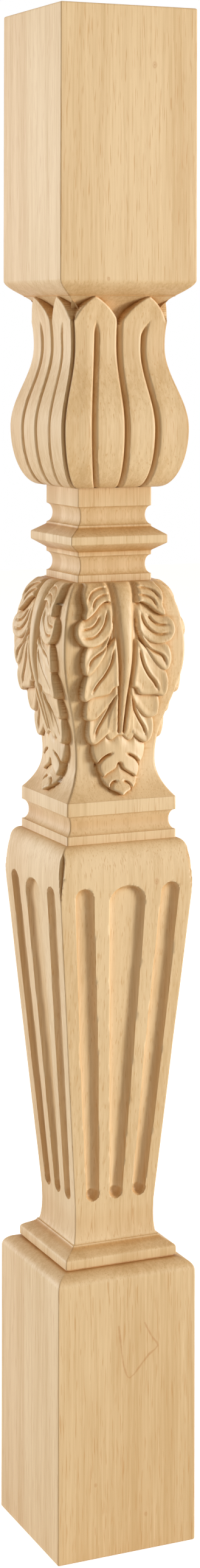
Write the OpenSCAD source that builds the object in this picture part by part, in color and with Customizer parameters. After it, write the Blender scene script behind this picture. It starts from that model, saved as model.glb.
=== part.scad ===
// Square newel post cut from one glued-up blank: plain blocks at both ends, a fluted
// shaft, a vase with an acanthus leaf on each side, and a bulb of eight upright petals.
// The post stands on the plane z = 0 with its axis on Z. Its sides face X and Y.

/* [Post] */
// Side of the square blank
post_w = 88.9; // [80:0.1:130]
// Height from the floor to the top end
post_h = 914.4; // [762:0.1:1200]

/* [Lower block] */
// Height of the plain lower block
lower_block_h = 161; // [60:0.5:300]
// Height of the rounded shoulder above the lower block
lower_shoulder_h = 7.2; // [3:0.1:12]

/* [Base moulding] */
// Cut-in of the quirk under the base fillet
base_quirk_in = 9.9; // [6:0.1:14]
// Height of the quirk under the base fillet
base_quirk_h = 0.9; // [0.5:0.1:3]
// Cut-in of the base fillet
base_fillet_in = 8.5; // [5:0.1:13]
// Height of the base fillet
base_fillet_h = 4.4; // [2:0.1:9]
// Cut-in at the top of the slope above the base fillet
base_slope_in = 16.5; // [14:0.1:20]
// Height of that slope
base_slope_h = 6.6; // [4:0.1:10]
// Height of the small hollow under the shaft
base_hollow_h = 13.4; // [8:0.1:20]

/* [Shaft] */
// Height of the shaft
shaft_h = 225; // [180:0.5:320]
// Cut-in of the shaft at its foot
shaft_foot_in = 18.85; // [17:0.05:24]
// Cut-in of the shaft at its widest
shaft_head_in = 1.15; // [0:0.05:6]
// Height of the rounding at the head of the shaft
shaft_round_h = 25.5; // [14:0.1:34]
// Height of the straight start at the foot of the shaft
shaft_start_h = 8; // [2:0.1:16]

/* [Flutes] */
// Distance from the foot of the shaft up to the flutes
flute_foot_gap = 11; // [4:0.1:30]
// Distance from the flutes up to the top of the shaft
flute_head_gap = 24.5; // [14:0.1:40]
// Radius of a flute at its foot
flute_foot_r = 4; // [2.5:0.1:5]
// Radius of a side flute at its head
flute_head_r = 5.2; // [3:0.1:6]
// Distance from the centre line to a side flute at the foot
flute_foot_x = 15.1; // [12:0.1:18]
// Distance from the centre line to a side flute at the head
flute_head_x = 27.6; // [24:0.1:30]
// Width of the centre flute at its head
flute_fan_w = 22.7; // [12:0.1:28]

/* [Corner nicks] */
// Depth of the stopped nick on each corner of the shaft head
nick_depth = 3.9; // [1:0.1:6]
// Length of a nick
nick_len = 32; // [15:0.5:60]
// Angle between the two sides of a nick
nick_angle = 44; // [30:1:80]

/* [Waist moulding] */
// Cut-in of the two waist fillets
waist_fillet_in = 9; // [6:0.1:14]
// Height of the lower waist fillet
waist_low_h = 4.9; // [2:0.1:9]
// Height of the waist cove
waist_cove_h = 12.2; // [7:0.1:18]
// Depth of the waist cove
waist_cove_depth = 3.2; // [1:0.1:5]
// Height of the upper waist fillet
waist_top_h = 7.7; // [3:0.1:12]

/* [Vase] */
// Height of the vase
vase_h = 128.9; // [100:0.5:180]
// Cut-in of the vase at its narrow foot
vase_neck_in = 18.4; // [16:0.1:24]
// Height of the narrow foot above the waist moulding
vase_neck_z = 23; // [15:0.5:32]
// Cut-in of the vase at its widest
vase_belly_in = 5; // [2:0.1:10]
// Height of the widest place above the waist moulding
vase_belly_z = 89; // [70:0.5:105]
// Rounding of the corners of the vase
vase_corner_ease = 1.6; // [0.5:0.1:3]

/* [Leaves] */
// Half width of a leaf at its widest lobes
leaf_half_w = 32; // [24:0.1:33]
// Half width lost on each lobe further down
leaf_taper = 2.3; // [0.5:0.1:3]
// Height of the leaf lobes above the vase
leaf_lift = 3; // [1.5:0.1:4]
// Extra height of a lobe at its tip
leaf_curl = 2.2; // [0.5:0.1:3.5]
// Half width of the midrib at the top of the leaf
rib_head_half = 7; // [4:0.1:9]
// Half width of the midrib at its lower end
rib_foot_half = 1.6; // [1:0.1:4]
// How much lower a lobe hangs at its edge than at the midrib
leaf_droop = 10; // [0:0.5:14]
// Height of the midrib above the lobes
rib_rise = 1; // [0.5:0.1:2]
// Depth of the channel along the midrib
rib_channel = 2; // [0.5:0.1:2.5]
// Half width of the husk under the leaf
husk_half_w = 17; // [12:0.1:20]
// Height of the husk above the vase
husk_lift = 4.4; // [2:0.1:6]

/* [Collar] */
// Cut-in of the necks of the collar
collar_neck_in = 20.3; // [18:0.1:24]
// Depth of the two collar coves
collar_cove_depth = 2.8; // [1:0.1:4]
// Height of the neck under the lower cove
collar_foot_h = 4.1; // [2:0.1:8]
// Height of each collar cove
collar_cove_h = 11.2; // [7:0.1:16]
// Height of the neck between a cove and the rim
collar_step_h = 2.6; // [1:0.1:5]
// Cut-in of the collar rim
collar_rim_in = 12.95; // [8:0.1:16]
// Height of the flat face of the rim
collar_rim_h = 4.7; // [2:0.1:8]
// Height of the slope on each side of the rim
collar_slope_h = 4.8; // [2:0.1:8]
// Height of the neck under the bulb
collar_head_h = 11.4; // [5:0.1:20]

/* [Bulb] */
// Height from the underside of the bulb to its widest place
bulb_low_h = 35; // [25:0.5:50]
// Height from the widest place to the narrow neck
bulb_high_h = 49; // [35:0.5:65]
// Height from the narrow neck to the petal tips
bulb_tip_h = 30; // [20:0.5:40]
// Cut-in of the bulb at its widest
bulb_belly_in = 3.15; // [1:0.05:8]
// Cut-in of the narrow neck
bulb_neck_in = 14.1; // [11:0.1:18]
// How far the petal tips lean out from the neck
petal_lean = 5.2; // [2:0.1:8]
// Height of the pointed part of a petal
petal_point_h = 17; // [10:0.5:22]
// Thickness of a petal where it stands free
petal_thick = 3; // [1.5:0.1:4.5]
// Width of a groove on the bulb
groove_w = 3.6; // [2:0.1:5]
// Depth of a groove on the bulb
groove_depth = 2.6; // [1:0.1:3.5]

/* [Upper shoulder] */
// Height of the flare under the upper block
upper_flare_h = 12.5; // [8:0.1:20]
// Height of the hollow behind the petal tips
hollow_h = 14; // [8:0.5:18]
// Distance from the petal tips up to the square part of the block
block_gap = 8.5; // [5:0.1:16]

/* [Hidden] */

half_w = post_w / 2;
steps = 10; // straight pieces in one quarter of a curve
plug = 1; // how far a section reaches into its neighbour
edge_step = 0.5; // ledge left where a curve ends on a flat
cove_edge = 0.2; // flat left on each side of the waist cove
start_flare = 0.25; // how much the shaft widens over its straight start

// Levels, from the floor up
base_quirk_z = lower_block_h + lower_shoulder_h;
base_fillet_z = base_quirk_z + base_quirk_h;
base_slope_z = base_fillet_z + base_fillet_h;
base_hollow_z = base_slope_z + base_slope_h;
shaft_z = base_hollow_z + base_hollow_h;
waist_z = shaft_z + shaft_h;
waist_cove_z = waist_z + waist_low_h;
waist_top_z = waist_cove_z + waist_cove_h;
vase_z = waist_top_z + waist_top_h;
collar_z = vase_z + vase_h;
low_cove_z = collar_z + collar_foot_h;
rim_slope_z = low_cove_z + collar_cove_h + collar_step_h;
rim_z = rim_slope_z + collar_slope_h;
rim_top_z = rim_z + collar_rim_h;
high_cove_z = rim_top_z + collar_slope_h + collar_step_h / 2;
bulb_z = high_cove_z + collar_cove_h + collar_head_h;
bulb_belly_z = bulb_z + bulb_low_h;
bulb_neck_z = bulb_belly_z + bulb_high_h;
tip_z = bulb_neck_z + bulb_tip_h;
petal_point_z = tip_z - petal_point_h;
upper_block_z = tip_z + block_gap;
flare_z = upper_block_z - upper_flare_h;

// Half widths of the moulded sections
shaft_foot_half = half_w - shaft_foot_in;
shaft_head_half = half_w - shaft_head_in;
shaft_round_z = waist_z - shaft_round_h;
waist_half = half_w - waist_fillet_in;
vase_neck_half = half_w - vase_neck_in;
vase_belly_half = half_w - vase_belly_in;
collar_half = half_w - collar_neck_in;
rim_half = half_w - collar_rim_in;
bulb_belly_half = half_w - bulb_belly_in;
bulb_neck_half = half_w - bulb_neck_in;
petal_tip_half = bulb_neck_half + petal_lean;
hollow_half = bulb_neck_half - petal_thick;

// A quarter of an ellipse that leaves a vertically and reaches b level; each is [half, z]
function bow(a, b, n = steps) =
    [for (i = [0:n]) [b[0] + (a[0] - b[0]) * cos(90 * i / n), a[1] + (b[1] - a[1]) * sin(90 * i / n)]];

// A smooth S curve that starts and ends vertically
function ease(a, b, n = steps) =
    [for (i = [0:n]) [a[0] + (b[0] - a[0]) * swing(i / n), a[1] + (b[1] - a[1]) * i / n]];

// A hollow of the given depth between two levels on one face
function cove(half, z0, z1, depth, n = steps) =
    [for (i = [0:n]) [half - depth * sin(180 * i / n), (z0 + z1) / 2 - (z1 - z0) / 2 * cos(180 * i / n)]];

function swing(t) = (1 - cos(180 * min(1, max(0, t)))) / 2;
function mix(a, b, t) = a + (b - a) * t;
function part_of(x, a, b) = min(1, max(0, (x - a) / (b - a)));
function reversed(list) = [for (i = [len(list) - 1:-1:0]) list[i]];

// Half width of the straight part of the shaft, and the line that the flutes follow
shaft_line_z = shaft_z + shaft_start_h;
function shaft_half(z) = mix(shaft_foot_half, shaft_head_half, part_of(z, shaft_line_z, shaft_round_z));

// Rounding of the shaft head: a squarer curve than a plain ellipse
head_power = 0.84;
function shaft_head() =
    [for (i = [0:steps])
        [mix(waist_half, shaft_head_half, pow(cos(90 * i / steps), head_power)),
         shaft_round_z + shaft_round_h * pow(sin(90 * i / steps), head_power)]];

lower_profile = concat(
    [[half_w, 0]],
    bow([half_w, lower_block_h], [half_w - base_quirk_in, base_quirk_z], 6),
    [[half_w - base_quirk_in, base_fillet_z]],
    [[half_w - base_fillet_in, base_fillet_z]],
    ease([half_w - base_fillet_in, base_slope_z], [half_w - base_slope_in, base_hollow_z], 6),
    reversed(bow([shaft_foot_half, shaft_z], [half_w - base_slope_in - edge_step, base_hollow_z], 5)),
    [[shaft_foot_half + start_flare, shaft_line_z]],
    shaft_head(),
    [[waist_half, waist_cove_z]],
    cove(waist_half, waist_cove_z + cove_edge, waist_top_z - cove_edge, waist_cove_depth),
    [[waist_half, waist_top_z]],
    [[waist_half, vase_z]]
);

collar_profile = concat(
    [[collar_half, collar_z - plug]],
    cove(collar_half, low_cove_z, low_cove_z + collar_cove_h, collar_cove_depth),
    [[collar_half, rim_slope_z]],
    [[rim_half, rim_z]],
    [[rim_half, rim_top_z]],
    [[collar_half, rim_top_z + collar_slope_h]],
    cove(collar_half, high_cove_z, high_cove_z + collar_cove_h, collar_cove_depth),
    [[collar_half, bulb_z + plug]]
);

hollow_z = tip_z - hollow_h;
hollow_bend = 0.6; // share of the hollow's height where its wall starts to turn out
hollow_lean = 1; // how far the wall leans out up to there
flare_over = 1.5; // how far the flare runs up into the square part
upper_profile = concat(
    [[hollow_half, hollow_z]],
    [[hollow_half + hollow_lean, hollow_z + hollow_h * hollow_bend]],
    ease([bulb_neck_half + edge_step, flare_z], [half_w, upper_block_z + flare_over], 8),
    [[half_w, post_h]]
);

// A square section whose four sides all follow one profile
module squared(profile) {
    outline = concat(profile, [for (p = reversed(profile)) [-p[0], p[1]]]);
    intersection() {
        rotate([90, 0, 0])
            translate([0, 0, -post_w])
                linear_extrude(height = 2 * post_w)
                    polygon(outline);
        rotate([90, 0, 90])
            translate([0, 0, -post_w])
                linear_extrude(height = 2 * post_w)
                    polygon(outline);
    }
}

module on_each_side() {
    for (side = [0:3])
        rotate([0, 0, 90 * side])
            children();
}

// A round-ended cut along a straight line from a to b, of radius ra at a and rb at b
module gouge(a, b, ra, rb) {
    run = b - a;
    length = norm(run);
    near_end = [for (i = [0:steps]) [ra * sin(90 * i / steps), -ra * cos(90 * i / steps)]];
    far_end = [for (i = [0:steps]) [rb * cos(90 * i / steps), length + rb * sin(90 * i / steps)]];
    translate(a)
        rotate([0, acos(run[2] / length), atan2(run[1], run[0])])
            rotate_extrude()
                polygon(concat(near_end, far_end));
}

flute_foot_z = shaft_z + flute_foot_gap + flute_foot_r;
flute_head_z = waist_z - flute_head_gap;

// A point on the front of the shaft
function on_shaft(x, z) = [x, -shaft_half(z), z];

module flutes() {
    for (side = [-1, 1])
        gouge(
            on_shaft(side * flute_foot_x, flute_foot_z),
            on_shaft(side * flute_head_x, flute_head_z - flute_head_r),
            flute_foot_r,
            flute_head_r
        );
    skin(fan_rings);
}

// The centre flute spreads upwards to a round head: the section at a share t of its length
fan_marks = [0, 0.006, 0.02, 0.05, 0.35, 0.65, 0.88, 0.92, 0.95, 0.975, 0.99, 1];
fan_round = 0.13; // share of the length taken by the round head
fan_start = 0.035; // share of the length taken by the round foot
fan_least = 0.2; // half width and depth left at its two ends
fan_over = 2; // how far the cutting shape stands out of the shaft
fan_wall = [0.25, 0.7]; // place of the bend in its wall, as shares of the depth, in and down
fan_floor = 0.9; // share of the depth taken by the wall
function fan_end(t) =
    t < fan_start
    ? sqrt(1 - pow(1 - t / fan_start, 2))
    : t > 1 - fan_round
    ? sqrt(1 - pow((t - 1 + fan_round) / fan_round, 2))
    : 1;
function fan_half(t) = mix(fan_least, mix(flute_foot_r, flute_fan_w / 2, t), fan_end(t));
function fan_section(z, t) =
    let (
        w = fan_half(t),
        depth = mix(fan_least, flute_foot_r, fan_end(t)),
        bend = w - min(w, depth) * fan_wall[0],
        foot = w - min(w, depth) * fan_floor,
        face = -shaft_half(z)
    )
        [
            [-w, face - fan_over, z],
            [w, face - fan_over, z],
            [w, face, z],
            [bend, face + depth * fan_wall[1], z],
            [foot, face + depth, z],
            [-foot, face + depth, z],
            [-bend, face + depth * fan_wall[1], z],
            [-w, face, z],
        ];
fan_foot_z = flute_foot_z - flute_foot_r;
fan_rings = [for (t = fan_marks) let (z = mix(fan_foot_z, flute_head_z, t)) fan_section(z, t)];

// A stopped V nick on one corner of the shaft head, deepest near its upper end
nick_gap = 2.5; // distance from the nick's upper end up to the waist
nick_lean = 1.4; // how steeply the nick deepens, in nick depths over its length
nick_over = 1.3; // length of the cutting shape, in nick lengths
nick_out = 4; // how far the cutting shape stands out, in nick depths
module corner_nick() {
    reach = shaft_head_half * sqrt(2);
    lean = atan2(nick_depth * nick_lean, nick_len);
    out = nick_depth * nick_out;
    mouth = out * tan(nick_angle / 2);
    rotate([0, 0, -45])
        translate([0, -reach, waist_z - nick_gap - nick_len])
            rotate([-lean, 0, 0])
                linear_extrude(height = nick_len * nick_over)
                    polygon([[0, 0], [mouth, -out], [-mouth, -out]]);
}

function middle(ring) = [for (k = [0:2]) sum([for (p = ring) p[k]]) / len(ring)];
function sum(list, i = 0) = i < len(list) ? list[i] + sum(list, i + 1) : 0;

// A closed solid through rings of equal numbers of points, with flat ends
module skin(rings) {
    n = len(rings[0]);
    count = len(rings);
    low = count * n;
    high = low + 1;
    points = concat(
        [for (ring = rings) each ring],
        [middle(rings[0]), middle(rings[count - 1])]
    );
    sides = [
        for (k = [0:count - 2])
            for (i = [0:n - 1])
                let (j = (i + 1) % n, a = k * n + i, b = k * n + j)
                    each [[a, a + n, b], [b, a + n, b + n]]
    ];
    ends = [
        for (i = [0:n - 1])
            let (j = (i + 1) % n)
                each [[low, i, j], [high, (count - 1) * n + j, (count - 1) * n + i]]
    ];
    polyhedron(points = points, faces = concat(sides, ends));
}

// One level of a carved section: the same [x, lift, rise] points on all four sides of a square
function ring(z, side_points, half_at) =
    [for (s = [0:3]) for (p = side_points) turned([p[0], -half_at(z + p[2]) - p[1], z + p[2]], 90 * s)];
function turned(p, a) = [p[0] * cos(a) - p[1] * sin(a), p[0] * sin(a) + p[1] * cos(a), p[2]];

// Right half of a side, mirrored to the left; the first point is on the centre line
function mirrored(points) =
    concat([for (i = [len(points) - 1:-1:1]) [-points[i][0], points[i][1], points[i][2]]], points);

// Half width of the vase without its leaves
foot_power = 2.2; // how late the foot of the vase spreads
shoulder_over = 0.2; // how far the shoulder's curve would run above the vase
vase_half = function (z)
    let (y = z - vase_z)
        y < vase_neck_z
        ? mix(vase_neck_half, waist_half, pow(1 - y / vase_neck_z, foot_power))
        : y < vase_belly_z
        ? mix(vase_neck_half, vase_belly_half, swing(part_of(y, vase_neck_z, vase_belly_z)))
        : mix(
            collar_half,
            vase_belly_half,
            sqrt(1 - pow(part_of(y, vase_belly_z, vase_h + shoulder_over), 2))
        );

// Lobes hang one under another; lobe 0 is cut short by the collar
lobe_count = 6;
husk_h = 36;
husk_over = 3; // how far the husk reaches up under the leaf
top_share = 0.3; // share of one more lobe that shows under the collar
leaf_foot_z = vase_z + husk_h - husk_over;
lobe_pitch = (vase_h - husk_h + husk_over) / (lobe_count + top_share);
function lobe_tip(i) = leaf_foot_z + (lobe_count - 1 - i) * lobe_pitch;
// How far each lobe has got, from 0 at its upper notch to 1 at its tip
lobe_marks = [0.97, 0.86, 0.68, 0.45, 0.2, 0.02];
lobe_margin = 5; // bare vase left between a lobe and the corner
lobe_notch = 0.8; // width of a lobe at its notches, as a share of its reach
lobe_belly = 1.3; // how low on a lobe its widest place lies
tip_from = 0.9; // mark from which a lobe closes to its tip
tip_in = 1.5; // how much narrower it is there
function lobe_room(i) = vase_half(lobe_tip(i) + lobe_pitch / 2) - lobe_margin;
function lobe_reach(i) = min(leaf_half_w - leaf_taper * max(0, i - 1), lobe_room(i));
function lobe_swell(t) = mix(lobe_notch, 1, sin(180 * pow(t, lobe_belly)));
function lobe_width(i, t) = lobe_reach(i) * lobe_swell(t) - (t > tip_from ? tip_in : 0);
function leaf_lift_at(t) = leaf_lift + leaf_curl * t * t;
rib_power = 1.5; // how late the midrib widens
function rib_half(z) = mix(rib_foot_half, rib_head_half, pow(part_of(z, leaf_foot_z, collar_z), rib_power));

// Lobes droop: they hang lower at their outer edge than at the midrib
droop_fade = 40; // height under the collar over which the droop grows
droop_foot = 0.5; // share of the droop at the foot of the leaf
droop_grow = 30; // height above the foot over which it reaches its full size
function droop_at(z) =
    leaf_droop * min(1, (collar_z - z) / droop_fade)
    * mix(droop_foot, 1, part_of(z, leaf_foot_z, leaf_foot_z + droop_grow));
corner_room = 2.5; // vase left bare at the corner beside a lobe
rib_edge = 1.6; // width of the slope beside the midrib
crest_over = 0.8; // how far the midrib's edges stand above its own rise
fold = 0.7; // height of the fold along the middle of a lobe

function leaf_side(z, i, t) =
    let (
        half = vase_half(z),
        w = min(lobe_width(i, t), half - corner_room),
        lift = leaf_lift_at(t),
        rib = rib_half(z),
        crest = leaf_lift + rib_rise + crest_over,
        droop = droop_at(z),
        mid = mix(rib, w, 0.55)
    )
        mirrored([
            [0, crest - rib_channel, droop],
            [rib, crest, droop],
            [rib + rib_edge, leaf_lift, droop * 0.95],
            [mid, mix(leaf_lift, lift, 0.6) + fold, droop * 0.5],
            [w - 1, lift, 0],
            [w, 0, 0],
            [max(w + 0.5, half - vase_corner_ease), 0, 0],
        ]);

// The husk: two overlapping scales, each widening upwards
husk_marks = [0.04, 0.2, 0.45, 0.7, 0.95];
function husk_side(z, k, t) =
    let (
        half = vase_half(z),
        wide = husk_half_w * (k == 0 ? 0.12 + 0.63 * sqrt(t) : 0.72 + 0.28 * sin(90 * t)),
        lift = husk_lift * (k == 0 ? 0.45 + 0.35 * t : 1 - 0.15 * t)
    )
        mirrored([
            [0, lift + 0.8, 0],
            [wide * 0.3, lift + 0.7, 0],
            [wide * 0.5, lift + 0.6, 0],
            [wide * 0.75, lift + 0.3, 0],
            [wide - 0.8, lift - 0.8, 0],
            [wide, 0, 0],
            [max(wide + 0.5, half - vase_corner_ease), 0, 0],
        ]);

function plain_side(z) =
    let (edge = vase_half(z) - vase_corner_ease)
        mirrored([for (i = [0:6]) [edge * i / 6, 0, 0]]);

scale_gap = 2.5; // bare vase under the husk
scale_h = husk_h / 2 - scale_gap;
plug_half = function (z) waist_half - 1;
vase_rings = concat(
    [for (y = [-plug, 0]) ring(vase_z + y, plain_side(vase_z), plug_half)],
    [for (y = [0.01, 1]) ring(vase_z + y, plain_side(vase_z + y), vase_half)],
    [for (k = [0:1]) for (t = husk_marks)
        let (z = vase_z + scale_gap + (k + t) * scale_h)
            ring(z, husk_side(z, k, t), vase_half)],
    [for (i = [lobe_count - 1:-1:0]) for (t = lobe_marks)
        let (z = lobe_tip(i) + (1 - t) * lobe_pitch)
            if (z < collar_z - 1)
                ring(z, leaf_side(z, i, t), vase_half)],
    [ring(collar_z, leaf_side(collar_z, 0, 0.5), vase_half)]
);

// Half width of the bulb without its grooves; its flat underside stands out by a lip
// that the grooves don't cut through
bulb_lip = groove_depth + 0.6;
lean_power = 2.2; // how late the petals lean out
bulb_half = function (z)
    z < bulb_belly_z
    ? mix(collar_half + bulb_lip, bulb_belly_half, sqrt(1 - pow(1 - part_of(z, bulb_z, bulb_belly_z), 2)))
    : z < bulb_neck_z
    ? mix(bulb_belly_half, bulb_neck_half, swing(part_of(z, bulb_belly_z, bulb_neck_z)))
    : mix(bulb_neck_half, petal_tip_half, pow(part_of(z, bulb_neck_z, tip_z), lean_power));

// Share of a petal's half width that is left at a level: full below its point, none at its tip
tip_curve = 1.35; // how late a petal starts to close
tip_power = 0.8; // how blunt its tip is: 0.5 is round and 1 is pointed
function petal_share(z) = pow(1 - pow(part_of(z, petal_point_z, tip_z), tip_curve), tip_power);

// One petal between a corner and the middle of a side, as [x, lift] from its edge to its edge.
// Its cuts point at the axis.
function petal(z, half) =
    let (
        centre = half / 2,
        reach = (half / 2 - groove_w / 4) * petal_share(z) + 0.05,
        floor_lift = max(-petal_thick, hollow_half - half),
        edge = min(groove_w / 2, reach * 0.6),
        depth = z < petal_point_z ? groove_depth : groove_depth * 0.2 * petal_share(z),
        low = z < petal_point_z ? -groove_depth : floor_lift,
        cut = function (x, lift) [x * (half + lift) / half, lift, 0]
    )
        [
            cut(centre - reach, low),
            cut(centre - reach + edge / 2, 0),
            cut(centre - edge / 2, 0),
            cut(centre, -depth),
            cut(centre + edge / 2, 0),
            cut(centre + reach - edge / 2, 0),
            cut(centre + reach, low),
        ];

function bulb_side(z) =
    let (half = bulb_half(z), right = petal(z, half))
        concat([for (p = reversed(right)) [-p[0], p[1], p[2]]], right);

bulb_levels = concat(
    [for (i = [0:7]) bulb_z + bulb_low_h * (1 - cos(90 * i / 8))],
    [for (i = [0:8]) bulb_belly_z + bulb_high_h * i / 8],
    [for (i = [1:3]) mix(bulb_neck_z, petal_point_z, i / 3)],
    [for (i = [1:7]) mix(petal_point_z, tip_z, i / 7)]
);
bulb_rings = [for (z = bulb_levels) ring(z, bulb_side(z), bulb_half)];

module lower_part() {
    difference() {
        squared(lower_profile);
        on_each_side() {
            flutes();
            corner_nick();
        }
    }
}

// The two halves meet in the neck under the collar
module newel_post() {
    color("burlywood")
        union() {
            union() {
                lower_part();
                skin(vase_rings);
            }
            union() {
                union() {
                    skin(bulb_rings);
                    squared(upper_profile);
                }
                squared(collar_profile);
            }
        }
}

newel_post();
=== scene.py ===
import math
import bpy
import numpy as np
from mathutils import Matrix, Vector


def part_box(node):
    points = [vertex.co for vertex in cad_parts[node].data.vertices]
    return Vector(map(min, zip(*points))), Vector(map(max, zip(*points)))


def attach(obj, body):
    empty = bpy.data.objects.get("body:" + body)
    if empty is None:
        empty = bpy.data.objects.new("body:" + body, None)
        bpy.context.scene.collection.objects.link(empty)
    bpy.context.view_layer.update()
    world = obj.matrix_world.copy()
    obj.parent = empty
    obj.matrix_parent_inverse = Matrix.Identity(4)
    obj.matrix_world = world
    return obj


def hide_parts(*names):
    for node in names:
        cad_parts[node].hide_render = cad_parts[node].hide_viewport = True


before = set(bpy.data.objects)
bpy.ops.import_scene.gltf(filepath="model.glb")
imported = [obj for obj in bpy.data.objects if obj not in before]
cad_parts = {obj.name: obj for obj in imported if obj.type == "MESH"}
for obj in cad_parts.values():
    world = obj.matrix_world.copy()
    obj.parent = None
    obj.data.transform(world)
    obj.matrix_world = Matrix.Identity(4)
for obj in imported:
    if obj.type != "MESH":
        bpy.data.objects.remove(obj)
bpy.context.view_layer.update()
postLow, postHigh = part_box("newel_post")
mm = 0.001
halfBlank = (postHigh.x - postLow.x) / 2 / mm  # shapes are worked out in millimetres above the floor
postTop = postHigh.z / mm


def smooth(x, start, end):
    t = np.clip((x - start) / (end - start), 0, 1)
    return t * t * (3 - 2 * t)


def swing(t):
    return (1 - np.cos(math.pi * np.clip(t, 0, 1))) / 2


def bell(x, width):
    return np.exp(-(x / width) ** 2)


def bow(start, end, count):  # quarter of an ellipse that leaves start straight up and reaches end level
    turns = [math.pi / 2 * i / count for i in range(count + 1)]
    return [(end[0] + (start[0] - end[0]) * math.cos(a), start[1] + (end[1] - start[1]) * math.sin(a))
            for a in turns]


def sCurve(start, end, count):
    steps = [i / count for i in range(count + 1)]
    return [(start[0] + (end[0] - start[0]) * float(swing(t)), start[1] + (end[1] - start[1]) * t)
            for t in steps]


def cove(half, low, high, depth, count):
    turns = [math.pi * i / count for i in range(count + 1)]
    return [(half - depth * math.sin(a), (low + high) / 2 - (high - low) / 2 * math.cos(a)) for a in turns]


smoothTurn = math.cos(math.radians(14))  # a profile that turns less than this is already a curve


def softened(points, radius):  # sanded edges: each corner of a profile becomes a short curve
    out = [points[0]]
    for before, here, after in zip(points, points[1:], points[2:]):
        a, b, c = np.array(before), np.array(here), np.array(after)
        back, on = np.linalg.norm(a - b), np.linalg.norm(c - b)
        if min(back, on) < 1e-6 or np.dot(b - a, c - b) / back / on > smoothTurn:
            out.append(here)
            continue
        near = b + (a - b) / back * min(radius, back * 0.4)
        far = b + (c - b) / on * min(radius, on * 0.4)
        out += [tuple(near), tuple((near + far) / 4 + b / 2), tuple(far)]
    return out + [points[-1]]


def refined(points, spans):  # more rows wherever the carving needs them; a span is (from, to, spacing)
    rows = [points[0]]
    for (h0, z0), (h1, z1) in zip(points, points[1:]):
        marks = [(z - z0) / (z1 - z0) for span in spans for z in span[:2] if min(z0, z1) < z < max(z0, z1)]
        cuts = sorted({0.0, 1.0, *marks})
        for t0, t1 in zip(cuts, cuts[1:]):
            middle = z0 + (z1 - z0) * (t0 + t1) / 2
            gap = min([span[2] for span in spans if span[0] <= middle <= span[1]] or [60])
            count = max(1, round(math.hypot(h1 - h0, z1 - z0) * (t1 - t0) / gap))
            for i in range(1, count + 1):
                t = t0 + (t1 - t0) * i / count
                rows.append((h0 + (h1 - h0) * t, z0 + (z1 - z0) * t))
    return rows


def handMade(u, z, side):  # slow waves that keep one side from matching the next to the hair
    long = np.sin(u * 0.11 + z * 0.043 + side * 1.9)
    short = np.sin(u * 0.23 - z * 0.071 + side * 2.7)
    return (long + 0.6 * short) / 1.6


cornerBand = 3.2  # width beside each corner where the surface turns towards the next side
keepFaces = 190000  # flat parts are thinned until a piece has this many triangles
recessShadeDepth = 1.1  # how far below its blurred surroundings a place must sit to get the full painted shade of a recess
cornerSteps = [1, 0.8, 0.6, 0.42, 0.26, 0.12, 0]
plainCorner = 0.55  # sanded corner of the blocks and mouldings
cornerCut = 0.293  # how far a rounded corner steps back, as a share of its radius
sharpAngle = 48  # degrees between two faces from which their edge stays sharp


def blurred(surface, passes):  # the same surface with its sharp changes levelled out
    soft = np.array(surface)
    for _ in range(passes):
        soft[1:-1] = (soft[:-2] + 2 * soft[1:-1] + soft[2:]) / 4
        soft[:, 1:-1] = (soft[:, :-2] + 2 * soft[:, 1:-1] + soft[:, 2:]) / 4
    return soft


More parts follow.
